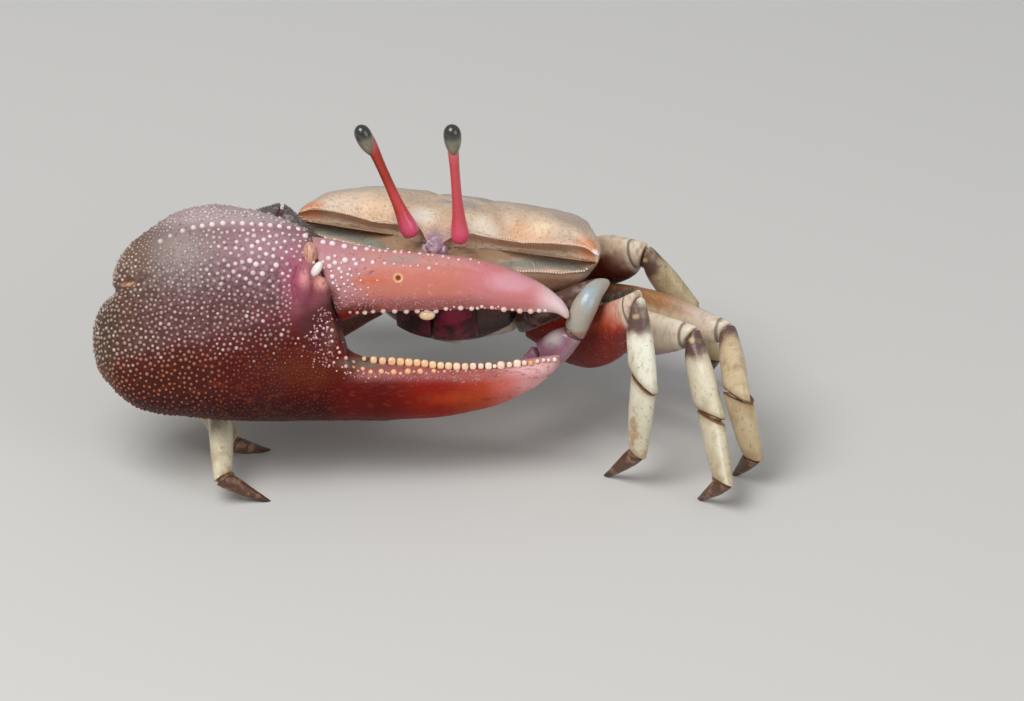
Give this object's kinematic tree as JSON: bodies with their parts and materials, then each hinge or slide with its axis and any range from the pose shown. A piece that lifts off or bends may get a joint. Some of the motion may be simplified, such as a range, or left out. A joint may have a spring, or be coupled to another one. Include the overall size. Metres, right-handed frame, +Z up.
{
  "type": "fiddler crab",
  "caption": "Still, life-size male fiddler crab, standing with its great claw held across its front and its eyestalks raised.",
  "frame": {"origin": "middle of the bounding box, at the floor that the toes stand on", "axes": "+X to the crab's left, -Y the way it faces, +Z up"},
  "size_m": [0.0672, 0.041, 0.0363],
  "materials": {
    "shell": "beige and tan crab shell, satin",
    "face": "tan and olive shell of the face and eye sockets",
    "underside": "pale underside shell",
    "eyestalk": "coral pink, wet gloss",
    "cornea": "dark grey green, wet gloss",
    "great_claw": "dark red to purple pink with pale tubercles",
    "great_finger": "salmon to lilac pink, satin",
    "great_arm": "dark granular brown grey",
    "small_claw": "grey blue and purple",
    "thigh": "red brown",
    "shank": "ivory with brown speckles",
    "toe": "dark brown horn"
  },
  "bodies": {
    "root": {"abdomen": "underside", "carapace": "shell", "eye_left": "cornea", "eye_right": "cornea", "eyestalk_left": "eyestalk", "eyestalk_right": "eyestalk", "face": "face", "great_claw_arm": "great_arm", "great_claw_base": "great_arm", "great_claw_finger": "great_finger", "great_claw_palm": "great_claw", "great_claw_wrist": "great_arm", "leg_left_1_shin": "shank", "leg_left_1_thigh": "thigh", "leg_left_1_toe": "toe", "leg_left_1_wrist": "shank", "leg_left_2_shin": "shank", "leg_left_2_thigh": "thigh", "leg_left_2_toe": "toe", "leg_left_2_wrist": "shank", "leg_left_3_shin": "shank", "leg_left_3_thigh": "thigh", "leg_left_3_toe": "toe", "leg_left_3_wrist": "shank", "leg_left_4_shin": "shank", "leg_left_4_thigh": "thigh", "leg_left_4_toe": "toe", "leg_left_4_wrist": "shank", "leg_right_1_shin": "shank", "leg_right_1_thigh": "thigh", "leg_right_1_toe": "toe", "leg_right_1_wrist": "shank", "leg_right_2_shin": "shank", "leg_right_2_thigh": "thigh", "leg_right_2_toe": "toe", "leg_right_2_wrist": "shank", "leg_right_3_shin": "shank", "leg_right_3_thigh": "thigh", "leg_right_3_toe": "toe", "leg_right_3_wrist": "shank", "leg_right_4_shin": "shank", "leg_right_4_thigh": "thigh", "leg_right_4_toe": "toe", "leg_right_4_wrist": "shank", "mouth_plate_left": "underside", "mouth_plate_right": "underside", "small_claw_arm": "small_claw", "small_claw_base": "small_claw", "small_claw_finger": "small_claw", "small_claw_palm": "small_claw", "small_claw_wrist": "small_claw", "thorax": "underside"}
  },
  "joints": []
}
